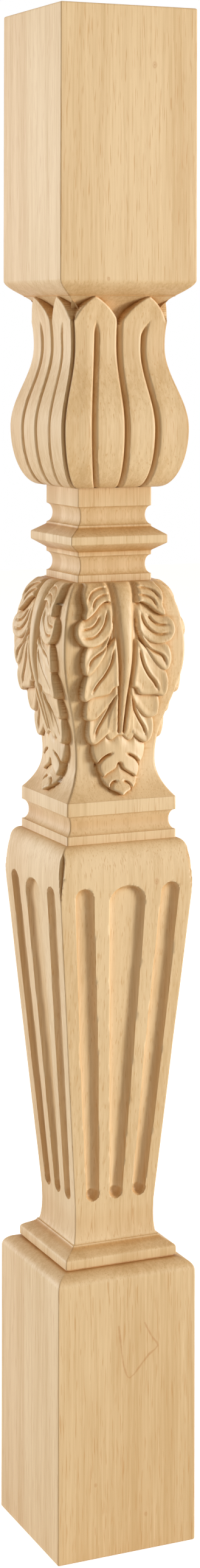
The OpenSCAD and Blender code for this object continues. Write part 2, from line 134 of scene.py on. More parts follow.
def carve(name, rows, columnCount, reliefAt, cornerRound, softPasses):
    # rows are (half width, height); reliefAt gives the carving above them on each of the four sides
    half = np.array([r[0] for r in rows])[:, None]
    level = np.array([r[1] for r in rows])[:, None]
    inner = np.linspace(-1, 1, columnCount)[None, :]
    left = -half + cornerBand * np.array(cornerSteps[::-1][:-1])[None, :]
    right = half - cornerBand * np.array(cornerSteps[1:-1])[None, :]
    across = np.concatenate([left, inner * (half - cornerBand), right], axis=1)
    z = np.broadcast_to(level, across.shape)
    edge = half - np.abs(across)
    turn = np.sign(across) * np.clip(1 - edge / cornerBand, 0, 1)
    rounding = np.broadcast_to(cornerRound(level), across.shape)
    rowCount, perSide = across.shape
    points = np.zeros((rowCount, 4 * perSide, 3))
    recessShade = np.zeros((rowCount, 4 * perSide))
    for side in range(4):
        relief = reliefAt(across, z, np.broadcast_to(half, across.shape), side)
        relief = np.minimum(relief, halfBlank - half)
        # painted shade: how far each place sits below its blurred surroundings is stored, and the wood
        # colour is darkened there
        sunk = blurred(half + relief, softPasses) - half - relief
        recessShade[:, side * perSide:(side + 1) * perSide] = np.clip(sunk / recessShadeDepth, 0, 1)
        relief = relief - cornerCut * rounding * np.clip(1 - edge / rounding, 0, 1) ** 2
        x = across + turn * relief
        y = -(half + relief)
        for _ in range(side):
            x, y = -y, x
        points[:, side * perSide:(side + 1) * perSide] = np.stack([x, y, z], axis=2)
    ring = 4 * perSide
    verts = points.reshape(-1, 3)
    foot, head = len(verts), len(verts) + 1
    verts = np.vstack([verts, [[0, 0, rows[0][1]], [0, 0, rows[-1][1]]]]) * mm
    i = np.arange(rowCount - 1)[:, None] * ring
    j = np.arange(ring)[None, :]
    k = (j + 1) % ring
    quads = np.stack([i + j, i + k, i + ring + k, i + ring + j], axis=2).reshape(-1, 4)
    j, k = j[0], k[0]
    top = (rowCount - 1) * ring
    caps = np.vstack([np.stack([np.full(ring, foot), k, j], axis=1),
                      np.stack([np.full(ring, head), top + j, top + k], axis=1)])
    mesh = bpy.data.meshes.new(name)
    mesh.from_pydata(verts.tolist(), [], quads.tolist() + caps.tolist())
    mesh.update()
    mesh.attributes.new("recessShade", "FLOAT", "POINT").data.foreach_set("value", [*recessShade.ravel(), 0, 0])
    piece = bpy.data.objects.new(name, mesh)
    bpy.context.scene.collection.objects.link(piece)
    if len(quads) * 2 > keepFaces:
        thin = piece.modifiers.new("thin", "DECIMATE")
        thin.ratio = keepFaces / (len(quads) * 2 + len(caps))
        view = bpy.context.evaluated_depsgraph_get()
        finished = bpy.data.meshes.new_from_object(piece.evaluated_get(view))
        piece.modifiers.clear()
        piece.data = finished
        finished.name = name
    piece.data.shade_smooth()
    piece.data.set_sharp_from_angle(angle=math.radians(sharpAngle))
    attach(piece, "root")
    print("carved", name, len(piece.data.polygons), "faces")
    return piece


lower = dict(
    blockTop=161, shoulder=7.2, quirkIn=9.9, quirk=0.9, filletIn=8.5, fillet=4.4,
    slopeIn=16.5, slope=6.6, hollow=13.4, footIn=18.85, headIn=1.15, straight=8,
    shaft=225, rounding=25.5, headPower=0.84, waistIn=9, lowFillet=4.9,
    waistCove=12.2, waistCoveDepth=3.2, topFillet=7.7, edge=0.45, headCorner=0.35,
)
flute = dict(
    foot=208.6, head=394, sideFoot=15.1, sideHead=28.2, footHalf=4, sideHalf=5.8, footDepth=3.6,
    sideDepth=3.7, widenRate=2.2, widenPower=0.8, boxy=3.2, offCentre=0.5, offSway=0.35,
    fanHalf=12.2, fanDepth=3.6, fanWall=4.6, fanArch=10.5, fanClose=2.5, ball=4.3, ballDepth=4.5,
    nickTop=416, nickFoot=384, nickRise=9, nickFall=7, nickDepth=5.4, nickLeast=0.3, nickWidth=2.2,
    waves=0.1, wavesFrom=(181, 190), wavesTo=(405, 415),
)
quirkZ = lower["blockTop"] + lower["shoulder"]
filletZ = quirkZ + lower["quirk"]
slopeZ = filletZ + lower["fillet"]
hollowZ = slopeZ + lower["slope"]
shaftZ = hollowZ + lower["hollow"]
shaftLineZ = shaftZ + lower["straight"]
waistZ = shaftZ + lower["shaft"]
roundZ = waistZ - lower["rounding"]
waistCoveZ = waistZ + lower["lowFillet"]
waistTopZ = waistCoveZ + lower["waistCove"]
vaseZ = waistTopZ + lower["topFillet"]
footHalf = halfBlank - lower["footIn"]
headHalf = halfBlank - lower["headIn"]
waistHalf = halfBlank - lower["waistIn"]


def shaftHead(count):
    turns = [math.pi / 2 * i / count for i in range(count + 1)]
    power = lower["headPower"]
    return [(waistHalf + (headHalf - waistHalf) * abs(math.cos(a)) ** power,
             roundZ + lower["rounding"] * math.sin(a) ** power) for a in turns]


def lowerProfile():
    quirkHalf, filletHalf = halfBlank - lower["quirkIn"], halfBlank - lower["filletIn"]
    slopeHalf = halfBlank - lower["slopeIn"]
    points = [(halfBlank - 4, 0), (halfBlank - 0.8, 0), (halfBlank, 0.8)]
    points += bow((halfBlank, lower["blockTop"]), (quirkHalf, quirkZ), 12)
    points += [(quirkHalf, filletZ), (filletHalf, filletZ)]
    points += sCurve((filletHalf, slopeZ), (slopeHalf, hollowZ), 10)
    points += bow((footHalf, shaftZ), (slopeHalf - 0.5, hollowZ), 10)[::-1]
    points += [(footHalf + 0.25, shaftLineZ)]
    points += shaftHead(22)
    points += [(waistHalf, waistCoveZ)]
    points += cove(waistHalf, waistCoveZ + 0.2, waistTopZ - 0.2, lower["waistCoveDepth"], 14)
    points += [(waistHalf, waistTopZ), (waistHalf, vaseZ), (waistHalf - 2, vaseZ)]
    return softened(points, lower["edge"])


def gougeDepth(off, z, foot, head, halfAt, depth):  # a round-nosed hollow, off millimetres from its line
    reach = np.where(z < foot, foot - z, np.where(z > head, z - head, 0))
    across = np.sqrt(off ** 2 + reach ** 2) / halfAt
    return depth * np.clip(1 - across ** flute["boxy"], 0, 1) ** 0.5


def lowerRelief(u, z, half, side):
    run = np.clip((z - flute["foot"]) / (flute["head"] - flute["foot"]), 0, 1)
    widen = np.clip(run * flute["widenRate"], 0, 1) ** flute["widenPower"]
    wavy = smooth(z, *flute["wavesFrom"]) * (1 - smooth(z, *flute["wavesTo"]))
    relief = flute["waves"] * handMade(u, z, side) * wavy
    sideHalf = flute["footHalf"] + (flute["sideHalf"] - flute["footHalf"]) * widen
    sideDepth = flute["footDepth"] + (flute["sideDepth"] - flute["footDepth"]) * widen
    line = flute["sideFoot"] + (flute["sideHead"] - flute["sideFoot"]) * run
    drift = flute["offCentre"] + flute["offSway"] * math.sin(side * 2.3)
    sideTop = flute["head"] - flute["sideHalf"]
    for sign in (-1, 1):
        off = u - sign * line - drift
        relief = relief - gougeDepth(off, z, flute["foot"], sideTop, sideHalf, sideDepth)
    fanHalf = flute["footHalf"] + (flute["fanHalf"] - flute["footHalf"]) * run
    archZ = flute["head"] - flute["fanArch"]  # the wide flute closes in a flat arch
    rise = np.clip((z - archZ) / (flute["head"] - archZ), 0, 1)
    arch = np.sqrt(np.clip(1 - rise ** 2, 0, 1))
    reach = np.where(z < flute["foot"], flute["foot"] - z, 0)
    off = np.sqrt((u - drift) ** 2 + reach ** 2)
    wall = np.clip((fanHalf * np.maximum(arch, 0.02) - off) / np.minimum(fanHalf, flute["fanWall"]), 0, 1)
    closed = (z > flute["head"]) | (z < flute["foot"] - flute["footHalf"])
    fan = np.where(closed, 0, flute["fanDepth"] * np.sqrt(1 - (1 - wall) ** 2))
    relief = relief - fan * np.clip((flute["head"] - z) / flute["fanClose"] + 0.05, 0, 1) ** 0.5
    for middle in (-flute["sideFoot"], 0, flute["sideFoot"]):  # plunge mark of the round cutter
        near = np.sqrt((u - middle - drift) ** 2 + (z - flute["foot"]) ** 2) / flute["ball"]
        relief = np.minimum(relief, -flute["ballDepth"] * np.sqrt(np.clip(1 - near ** 2, 0, 1)))
    edge = half - np.abs(u)
    rising = smooth(z, flute["nickFoot"], flute["nickTop"] - flute["nickRise"])
    nick = rising * (1 - smooth(z, flute["nickTop"] - flute["nickFall"], flute["nickTop"]))
    reach = flute["nickLeast"] + flute["nickWidth"] * nick
    return relief - flute["nickDepth"] * nick * np.clip(1 - edge / reach, 0, 1) ** 0.8


def lowerCorner(z):  # a little rounder at the head of the shaft
    return plainCorner + lower["headCorner"] * smooth(z, 396, 415)


lowerRows = refined(lowerProfile(), [
    (0, 161, 20), (199, 203, 1.5), (203, 214, 0.5), (214, 380, 1.55), (380, 396, 0.5), (396, 418, 0.9),
])
lowerPost = carve("lower_post", lowerRows, 120, lowerRelief, lowerCorner, 20)


vase = dict(
    height=128.9, neckIn=18.4, neck=23, bellyIn=5, belly=89, footPower=2.2, corner=1.7,
    evenRows=262, closingRows=46, closing=16.9,
)
collarIn = 20.3
collarHalf = halfBlank - collarIn
collarZ = vaseZ + vase["height"]
leaf = dict(  # lobes from the lowest up; points are (distance from the midrib, height in the vase)
    lobes=[
        dict(root=(8, 62), tip=(16, 33), rise=(3.2, 4.9), tuck=0.3,
             outline=[(0, 45), (8.2, 38.4), (12, 35.2), (16, 32.8), (19.4, 34), (21.3, 38.5),
                      (21.5, 44), (20.4, 50), (17, 58), (8, 64), (0, 64)]),
        dict(root=(7, 70), tip=(21, 49), rise=(3.3, 4.1), tuck=0.35,
             outline=[(5, 62), (9, 56.5), (12.5, 52), (16.3, 48.4), (20.3, 47.8), (23.5, 49.2),
                      (24.3, 53), (24.2, 57.5), (22.7, 62), (16, 70), (0, 74)]),
        dict(root=(8, 92), tip=(25, 61), rise=(3.3, 5.5), tuck=0.35,
             outline=[(0, 72), (7.2, 67), (9.8, 63.6), (13.5, 62.4), (20.5, 61.9), (25.2, 60.2),
                      (27.7, 62.6), (28.1, 67.5), (27.2, 72.5), (25, 77), (17, 86), (7, 96), (0, 98)]),
        dict(root=(9, 103), tip=(26, 77), rise=(3.2, 3.9), tuck=0.35,
             outline=[(8.6, 99), (11.5, 93), (14.8, 86.6), (19.2, 80.6), (24, 76.3), (27.4, 76.9),
                      (28.8, 82), (28.4, 87.2), (26.6, 91.5), (20, 98), (8, 106)]),
        dict(root=(9, 112), tip=(30, 98), rise=(2.6, 4.0), tuck=0.75,
             outline=[(8.6, 102.8), (11.2, 98), (14.8, 94.6), (19.5, 92.6), (24.5, 92.5), (29, 94.4),
                      (31.8, 98.7), (32, 103), (30.3, 106.6), (26, 109.6), (16, 118), (6, 121)]),
        dict(root=(9, 128), tip=(25, 110), rise=(3.7, 4.3), tuck=0,
             outline=[(7.6, 118.4), (11.5, 117.9), (15.6, 115.8), (20.2, 111.6), (25.4, 108.7),
                      (26.3, 111.2), (25.1, 115), (26, 119), (25.6, 123.5), (23, 127.5), (20.5, 133),
                      (6, 133)]),
    ],
    inner=dict(outline=[(-3, 40), (1.6, 37.6), (5.2, 34.9), (8, 36), (9.2, 39.6), (8.6, 47), (6.8, 57),
                        (3, 66), (-3, 66)],
               height=3.9),
    veins=[
        dict(line=[(16.4, 38.2), (15.2, 42.3), (12, 47.8), (8.9, 53.7), (5.9, 61.5)], depth=1.6),
        dict(line=[(21.6, 65.4), (18.9, 70), (14.4, 75.3), (10.6, 82), (8, 91.5)], depth=1.6),
        dict(line=[(25.2, 80.6), (22.8, 85.4), (15.2, 90), (10.5, 96), (9, 101)], depth=1.3),
        dict(line=[(27.6, 98.4), (21.7, 98.1), (17.2, 100.3), (13, 105.3), (10.8, 112.5)], depth=1.2),
        dict(line=[(27.6, 103.2), (22, 103.8), (18.3, 106.2), (15.6, 110)], depth=1.3),
        dict(line=[(21, 114.4), (19.2, 118.6), (15.2, 121.2), (9, 122.6)], depth=1.1),
        dict(line=[(23.6, 119), (20.8, 123), (16.6, 125.2), (9.5, 126.5)], depth=1.1),
    ],
    husk=dict(
        lower=[(-8, 20), (9, 20), (11.4, 14.5), (10.6, 10), (8.9, 7.8), (5.8, 5.7), (2.4, 4.2),
               (0, 2.9), (-6, 3)],
        upper=[(-8, 38), (-5, 22), (0.4, 21.4), (2.2, 18.2), (5.2, 16.3), (8.2, 14.6), (10.4, 13.2),
               (12.5, 16.5), (13.2, 20.4), (15.3, 23.1), (16.8, 27.6), (17, 32), (15, 40), (0, 44)],
        lowerHeight=4.4, upperHeight=5.5, lowerCrown=0.012, upperCrown=0.007, tuck=0.42, ridge=0.2,
        slits=[dict(line=[(14, 19.6), (12.2, 22.4), (9.4, 25), (5, 27.2)], depth=2.4),
               dict(line=[(7.2, 5.4), (6.5, 8.4), (4.7, 10.2), (2.2, 11)], depth=1.8)]),
    lift=1.14, rim=1.3, rimFloor=0.55, huskRim=1.6, scaleRim=1.4, tuckReach=2.8, risePower=1.4,
    dish=0.45, dishFrom=1.4, dishTo=4.5, twist=0.35, waves=0.1, veinRidge=0.55,
    cutDepth=1.2, cutWidth=0.7, cutRidge=0.9, ribHead=4.9, ribFoot=0.9, ribHeight=5, ribEdge=0.72,
    channelHead=10.6, channelFoot=2.6, channelFloor=1.2, channelPower=1.3, channelLip=0.55,
    foot=38.6, opening=2.5,
)


def vaseHalf(z):
    y = z - vaseZ
    neckHalf, bellyHalf = halfBlank - vase["neckIn"], halfBlank - vase["bellyIn"]
    low = neckHalf + (waistHalf - neckHalf) * np.clip(1 - y / vase["neck"], 0, 1) ** vase["footPower"]
    mid = neckHalf + (bellyHalf - neckHalf) * swing((y - vase["neck"]) / (vase["belly"] - vase["neck"]))
    top = np.clip((y - vase["belly"]) / (vase["height"] + 0.2 - vase["belly"]), 0, 1)
    high = collarHalf + (bellyHalf - collarHalf) * np.sqrt(1 - top ** 2)
    return np.where(y < vase["neck"], low, np.where(y < vase["belly"], mid, high))


def flowing(points, closed, steps=7):  # a smooth line through a few marks
    count = len(points)
    p = np.array(points, float)
    out = []
    for i in range(count if closed else count - 1):
        a, b, c, d = (p[(i + k) % count if closed else min(max(i + k, 0), count - 1)]
                      for k in (-1, 0, 1, 2))
        for t in np.arange(steps) / steps:
            out.append(b + 0.5 * t * (c - a + t * (2 * a - 5 * b + 4 * c - d + t * (3 * (b - c) + d - a))))
    return np.array(out if closed else out + [p[-1]])


def nearLine(u, y, line):  # distance to an open line, which side of it, and how far along
    best = np.full(u.shape, 1e9)
    sideOf, along = np.zeros(u.shape), np.zeros(u.shape)
    count = len(line) - 1
    for n, (a, b) in enumerate(zip(line, line[1:])):
        d = b - a
        t = np.clip(((u - a[0]) * d[0] + (y - a[1]) * d[1]) / (d @ d), 0, 1)
        px, py = u - a[0] - t * d[0], y - a[1] - t * d[1]
        far = px * px + py * py
        closer = far < best
        best = np.where(closer, far, best)
        sideOf = np.where(closer, np.sign(d[0] * (y - a[1]) - d[1] * (u - a[0])), sideOf)
        along = np.where(closer, (n + t) / count, along)
    return np.sqrt(best), sideOf, along


def inside(u, y, outline):  # distance to a closed outline, positive inside it
    line = flowing(outline, True)
    best = np.full(u.shape, 1e9)
    within = np.zeros(u.shape, bool)
    for a, b in zip(line, np.roll(line, -1, axis=0)):
        d = b - a
        t = np.clip(((u - a[0]) * d[0] + (y - a[1]) * d[1]) / (d @ d), 0, 1)
        best = np.minimum(best, (u - a[0] - t * d[0]) ** 2 + (y - a[1] - t * d[1]) ** 2)
        crosses = (a[1] > y) != (b[1] > y)
        if abs(d[1]) > 1e-9:
            within ^= crosses & (u < a[0] + (y - a[1]) * d[0] / d[1])
    return np.where(within, 1, -1) * np.sqrt(best)


def overlay(surface, height, depthIn, lip):  # a carved layer on what is below it, with a rounded rim
    rim = np.sqrt(np.clip(1 - (1 - np.clip(depthIn / lip, 0, 1)) ** 2, 0, 1))
    raised = height * (leaf["rimFloor"] + (1 - leaf["rimFloor"]) * rim)
    return np.where(depthIn > 0, np.maximum(raised, np.where(depthIn > lip, -9, surface)), surface)


def tucked(depthIn, share):  # a layer sinks where it runs under the next one
    return 1 - share * np.exp(np.minimum(depthIn, 0) / leaf["tuckReach"])


def cutLine(surface, u, y, spec, ridge):
    away, sideOf, along = nearLine(u, y, flowing(spec["line"], False))
    fade = np.clip(np.sin(math.pi * np.clip(along, 0.04, 0.96)) * 2.2, 0, 1)
    s = away * sideOf
    cut = leaf["cutDepth"] * spec["depth"] * bell(s - 0.25, leaf["cutWidth"])
    return surface + fade * (ridge * bell(s + 1, leaf["cutRidge"]) - cut)


def leafRelief(u, z, side):
    sign = np.where(u < 0, -1.0, 1.0)
    sway = 0.45 * np.sin(z * 0.05 + side * 1.7) + 0.25 * np.sin(z * 0.14 + side * 2.9)
    twist = leaf["twist"] * np.sin(z * 0.09 + side + sign)  # the two halves of a leaf differ a little
    x = np.abs(u + sway) + twist
    tied = smooth(z - vaseZ, 0, 12) * (1 - smooth(z, collarZ - 9, collarZ))
    y = z - vaseZ + 0.5 * np.sin(u * 0.16 + side * 2.1) * tied
    surface = np.zeros(u.shape)
    husk = leaf["husk"]
    depths = [inside(x, y, lobe["outline"]) for lobe in leaf["lobes"]] + [np.full(u.shape, -50.0)]
    innerDepth = inside(x, y, leaf["inner"]["outline"])
    upperDepth = inside(x, y, husk["upper"])
    lowerHeight = (husk["lowerHeight"] - husk["lowerCrown"] * x ** 2) * tucked(upperDepth, husk["tuck"])
    surface = overlay(surface, lowerHeight, inside(x, y, husk["lower"]), leaf["huskRim"])
    surface = cutLine(surface, x, y, husk["slits"][1], husk["ridge"])
    covered = np.maximum(depths[0], innerDepth)
    upperHeight = (husk["upperHeight"] - husk["upperCrown"] * x ** 2) * tucked(covered, husk["tuck"])
    surface = overlay(surface, upperHeight, upperDepth, leaf["scaleRim"])
    surface = cutLine(surface, x, y, husk["slits"][0], husk["ridge"])
    for n, lobe in enumerate(leaf["lobes"]):
        root, tip = np.array(lobe["root"]), np.array(lobe["tip"])
        way = tip - root
        t = np.clip(((x - root[0]) * way[0] + (y - root[1]) * way[1]) / (way @ way), 0, 1)
        height = lobe["rise"][0] + (lobe["rise"][1] - lobe["rise"][0]) * t ** leaf["risePower"]
        height = height * tucked(depths[n + 1], lobe["tuck"])
        height = height - leaf["dish"] * smooth(depths[n], leaf["dishFrom"], leaf["dishTo"])
        surface = overlay(surface, leaf["lift"] * height, depths[n], leaf["rim"])
    surface = overlay(surface, leaf["lift"] * leaf["inner"]["height"], innerDepth, leaf["rim"])
    for vein in leaf["veins"]:
        surface = cutLine(surface, x, y, vein, leaf["veinRidge"])
    climb = np.clip((y - leaf["foot"]) / (vase["height"] - leaf["foot"]), 0, 1)
    rib = leaf["ribFoot"] + (leaf["ribHead"] - leaf["ribFoot"]) * climb ** 1.1
    lip = leaf["channelFoot"] + (leaf["channelHead"] - leaf["channelFoot"]) * climb ** 1.15
    away = x - twist
    raisedLip = leaf["channelLip"] * bell(away - lip - 1.1, 1.2)
    surface = surface + raisedLip * smooth(y, leaf["foot"] - 1, leaf["foot"] + 4)
    low = (rib + lip) / 2
    floor, edge, power = leaf["channelFloor"], leaf["ribEdge"], leaf["channelPower"]
    bar = leaf["ribHeight"] * (edge + (1 - edge) * np.sqrt(np.clip(1 - (away / rib) ** 2, 0, 1)))
    toBar = floor + (leaf["ribHeight"] * edge - floor) * (1 - smooth(away, rib, low)) ** power
    toLip = floor + (surface - floor) * smooth(away, low, lip) ** power
    middle = np.where(away < rib, bar, np.where(away < low, toBar, toLip))
    opened = (away < lip) & (y > leaf["foot"])
    deep = surface + (middle - surface) * smooth(y, leaf["foot"], leaf["foot"] + leaf["opening"])
    return np.where(opened, deep, surface) + leaf["waves"] * handMade(u, z, side)


def vaseRows():
    even = vase["height"] - vase["closing"]  # above this the rows crowd towards the collar
    turns = np.linspace(0, math.pi / 2, vase["closingRows"])[1:]
    closing = even + (vase["closing"] + 0.2) * np.sin(turns)
    y = np.concatenate([np.linspace(0, even, vase["evenRows"]), closing])
    y = y[y < vase["height"] - 0.15]
    rows = [(float(vaseHalf(vaseZ + 0.05)) - 1.5, vaseZ - 1), (float(vaseHalf(vaseZ + 0.05)) - 1.5, vaseZ)]
    rows += [(float(vaseHalf(vaseZ + v)), float(vaseZ + v)) for v in y]
    return rows + [(collarHalf - 0.4, collarZ), (collarHalf - 0.4, collarZ + 0.4)]


def vaseRelief(u, z, half, side):
    shown = (z > vaseZ + 0.01) & (z < collarZ - 0.01)
    return np.where(shown, leafRelief(u, z, side), 0)


leafVase = carve("leaf_vase", vaseRows(), 150, vaseRelief, lambda z: vase["corner"] + 0 * z, 22)


upper = dict(
    coveDepth=2.8, foot=4.1, cove=11.2, step=2.6, rimIn=12.95, rim=4.7, slope=4.8, head=11.4,
    low=35, high=49, tips=30, bellyIn=3.15, neckIn=14.1, lean=5.2, point=17, lip=3.2,
    flare=23.5, flareOver=1.5, flarePower=1.4, aboveTips=8.5, hollowDrop=5.5, edge=0.45,
)
groove = dict(
    half=2.4, depth=3.5, cornerHalf=1.92, cornerDepth=3.7, petalHalf=2.2, petalDepth=3.1, thin=0.35,
)
petal = dict(
    tipCurve=1.35, tipPower=0.8, tipSlope=0.62, edgeDrop=1.3, edgeWidth=1.5, swell=0.3, fold=0.25,
    cutTop=729, cutFade=10, bendFrom=718, bendTo=730, bend=4.5, waves=0.08,
)
lowCoveZ = collarZ + upper["foot"]
rimSlopeZ = lowCoveZ + upper["cove"] + upper["step"]
rimZ = rimSlopeZ + upper["slope"]
rimTopZ = rimZ + upper["rim"]
highCoveZ = rimTopZ + upper["slope"] + upper["step"] / 2
bulbZ = highCoveZ + upper["cove"] + upper["head"]
bellyZ = bulbZ + upper["low"]
neckZ = bellyZ + upper["high"]
tipZ = neckZ + upper["tips"]
pointZ = tipZ - upper["point"]
blockZ = tipZ + upper["aboveTips"]
flareZ = blockZ - upper["flare"]
neckHalf = halfBlank - upper["neckIn"]
bellyHalf = halfBlank - upper["bellyIn"]
rimHalf = halfBlank - upper["rimIn"]


def bulbHalf(z):
    t = np.clip((z - bulbZ) / (bellyZ - bulbZ), 0, 1)
    low = collarHalf + upper["lip"] + (bellyHalf - collarHalf - upper["lip"]) * np.sqrt(1 - (1 - t) ** 2)
    mid = bellyHalf + (neckHalf - bellyHalf) * swing((z - bellyZ) / (neckZ - bellyZ))
    high = neckHalf + upper["lean"] * np.clip((z - neckZ) / (tipZ - neckZ), 0, 1) ** 2.2
    return np.where(z < bellyZ, low, np.where(z < neckZ, mid, high))


def flareHalf(z):  # the ground behind the petal tips, out to the block
    hollow = neckHalf - upper["hollowDrop"]
    climb = np.clip((z - flareZ) / (blockZ + upper["flareOver"] - flareZ), 0, 1) ** upper["flarePower"]
    return hollow + (halfBlank - hollow) * swing(climb)


def upperProfile():
    points = [(collarHalf - 0.6, collarZ - 1), (collarHalf, collarZ - 0.2)]
    points += cove(collarHalf, lowCoveZ, lowCoveZ + upper["cove"], upper["coveDepth"], 14)
    points += [(collarHalf, rimSlopeZ), (rimHalf, rimZ), (rimHalf, rimTopZ)]
    points += [(collarHalf, rimTopZ + upper["slope"])]
    points += cove(collarHalf, highCoveZ, highCoveZ + upper["cove"], upper["coveDepth"], 14)
    points += [(collarHalf, bulbZ)]
    under = bulbZ + upper["low"] * (1 - np.cos(np.linspace(0, 1, 30) * math.pi / 2))
    levels = [under, np.linspace(bellyZ + 1.2, pointZ, 48), np.linspace(pointZ + 0.4, tipZ, 44)]
    points += [(float(bulbHalf(z)), float(z)) for z in np.concatenate(levels)]
    flared = np.linspace(tipZ + 0.3, blockZ + upper["flareOver"], 16)
    points += [(float(flareHalf(z)), float(z)) for z in flared]
    points += [(halfBlank, postTop - 0.7), (halfBlank - 0.7, postTop), (halfBlank - 4, postTop)]
    return softened(points, upper["edge"])


def petalCut(off, half, depth):  # V cut with rolled shoulders
    t = np.clip(1 - np.abs(off) / half, 0, 1)
    return depth * t * smooth(t, -0.25, 0.45)


def upperRelief(u, z, half, side):
    onBulb = (z > bulbZ) & (z <= tipZ + 0.01)
    centre = half / 2
    wander = 0.35 * np.sin(z * 0.05 + side * 2.2)
    rise = np.clip((z - pointZ) / (tipZ - pointZ), 0, 1)
    share = np.clip(1 - rise ** petal["tipCurve"], 0, 1) ** petal["tipPower"]
    relief = petal["swell"] - petalCut(u - wander, groove["half"], groove["depth"])
    edge = half - np.abs(u)
    relief = relief - petalCut(edge, groove["cornerHalf"], groove["cornerDepth"])
    fade = 1 - smooth(z, petal["cutTop"] - petal["cutFade"], petal["cutTop"])
    sign = np.where(u < 0, -1.0, 1.0)
    bent = np.clip((z - petal["bendFrom"]) / (petal["bendTo"] - petal["bendFrom"]), 0, 1)
    bend = petal["bend"] * bent ** 1.6 * np.where(sign > 0, 1, 0.1)
    off = np.abs(u) - centre - bend + 0.6 * sign * np.sin(z * 0.04 + side)
    width = groove["petalHalf"] * (groove["thin"] + (1 - groove["thin"]) * fade)
    relief = relief - fade * petalCut(off, width, groove["petalDepth"])
    relief = relief + petal["fold"] * bell(off - 5, 4) * share
    reach = (centre - 0.3) * share
    inSide = reach - np.abs(np.abs(u) - centre)
    slope = petal["tipSlope"] + (1 - petal["tipSlope"]) * share
    edgeDrop = petal["edgeDrop"] * np.clip(1 - inSide * slope / petal["edgeWidth"], 0, 1) ** 2
    ground = flareHalf(z) - half
    pointed = z > pointZ
    petals = relief - np.where(pointed, edgeDrop * smooth(z, pointZ, pointZ + 5), 0)
    relief = np.where(pointed & (inSide < 0), ground, np.maximum(petals, ground))
    relief = np.where(pointed, relief, petals)
    return np.where(onBulb, relief + petal["waves"] * handMade(u, z, side), 0)


def upperCorner(z):  # rounder on the bulb than on the mouldings and the block
    return plainCorner + smooth(z, bulbZ, bulbZ + 4) * (1 - smooth(z, tipZ - 4, tipZ + 4))


upperPost = carve("upper_post", upperProfile(), 104, upperRelief, upperCorner, 8)
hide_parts("newel_post")


class Signal:  # one socket; arithmetic on values adds Math nodes
    def __init__(self, maker, socket):
        self.maker, self.socket = maker, socket

    def __add__(self, other):
        return self.maker.math("ADD", self, other)

    __radd__ = __add__

    def __sub__(self, other):
        return self.maker.math("SUBTRACT", self, other)

    def __rsub__(self, other):
        return self.maker.math("SUBTRACT", other, self)

    def __mul__(self, other):
        return self.maker.math("MULTIPLY", self, other)

    __rmul__ = __mul__

    def output(self, name):  # another output of the same node
        return Signal(self.maker, self.socket.node.outputs[name])


class Maker:
    def __init__(self, nodeTree):
        self.tree = nodeTree
        nodeTree.nodes.clear()

    def add(self, kind, settings, inputs, output=0):
        node = self.tree.nodes.new("ShaderNode" + kind)
        for name, value in settings.items():
            setattr(node, name, value)
        for name, value in inputs.items():
            if isinstance(value, Signal):
                self.tree.links.new(value.socket, node.inputs[name])
            else:
                node.inputs[name].default_value = value
        return Signal(self, node.outputs[output]) if len(node.outputs) else node

    def math(self, operation, first, second=0.0, clamp=False):
        return self.add("Math", dict(operation=operation, use_clamp=clamp), {0: first, 1: second})

    def ramp(self, value, start, end):
        return self.add("MapRange", dict(interpolation_type="SMOOTHSTEP"),
                        {"Value": value, "From Min": start, "From Max": end})

    def vectors(self, operation, first, second):
        return self.add("VectorMath", dict(operation=operation), {0: first, 1: second})

    def scaled(self, vector, amount):
        return self.add("VectorMath", dict(operation="SCALE"), {0: vector, "Scale": amount})

    def dot(self, first, second):
        return self.add("VectorMath", dict(operation="DOT_PRODUCT"), {0: first, 1: second}, "Value")

    def long(self, vector):
        return self.add("VectorMath", dict(operation="LENGTH"), {0: vector}, "Value")

    def blend(self, amount, first, second, how="MIX"):
        return self.add("Mix", dict(data_type="RGBA", blend_type=how), {0: amount, 6: first, 7: second}, 2)

    def tint(self, amount, colour, factor):
        return self.blend(amount, colour, factor, "MULTIPLY")

    def grain(self, place, stretch, scale, detail):  # noise drawn out along the post
        along = self.add("Mapping", {}, {"Vector": place, "Scale": (1, 1, stretch)})
        return self.add("TexNoise", {}, {"Vector": along, "Scale": scale, "Detail": detail})


wood = dict(  # each noise is (stretch along the post, scale, detail)
    pale=(0.83, 0.60, 0.335, 1), tan=(0.66, 0.425, 0.19, 1), toneFrom=0.40, toneTo=0.76,
    pore=(0.56, 0.25, 0.05, 1), poreShare=0.45, poreFrom=0.60, poreTo=0.72,
    endGrain=(0.74, 0.52, 0.25, 1), endGrainFrom=0.15, endGrainShare=0.25,
    # painted light: a cool, bluer cast laid on the faces turned towards either side
    sideCoolLight=(0.99, 1.01, 1.10, 1), backBoard=(0.975, 0.945, 0.92, 1),
    # colour of the painted shade in carved hollows, and how strongly it is laid on
    recessShade=(0.74, 0.53, 0.25, 1), recessShadeShare=0.8, glueLine=7.5, boardJump=(0.31, 0.17, 0.43),
    bands=(0.035, 90, 3), streaks=(0.03, 700, 2), drift=(0.3, 11, 1), pores=(0.045, 1500, 1),
    bandShare=0.42, streakShare=0.36, driftShare=0.35, bandHeight=0.3, streakHeight=0.6, poreHeight=0.3,
    roughness=0.5, roughTone=0.08, roughPore=0.1, bump=0.22, bumpDepth=0.3, sheen=0.6,
    # dark marks on the front: a V-shaped line and small knots, each knot as (x, z, radius)
    figure=(0.50, 0.19, 0.04, 1), figureShare=0.45, knotShare=0.7, figureWidth=0.9, soft=0.6,
    knotSoft=0.9, knotTall=0.75, knotRings=0.62, knotCore=0.35, wobbles=(1, 260, 1), wobble=1.2,
    frontDepth=30,
    figureLine=[(-5.5, 134.7), (-3.9, 121.1), (-2, 109.8), (1.6, 103.4), (9.7, 110.9), (13.7, 115.2),
                (19.8, 119.8), (15.8, 126), (11.3, 134.4)],
    knots=[(19, 395, 1.9), (16.3, 879.5, 2.1), (-13.4, 752.2, 1.2), (-20.3, 43.7, 1.2), (12.2, 21.1, 1.2)],
)


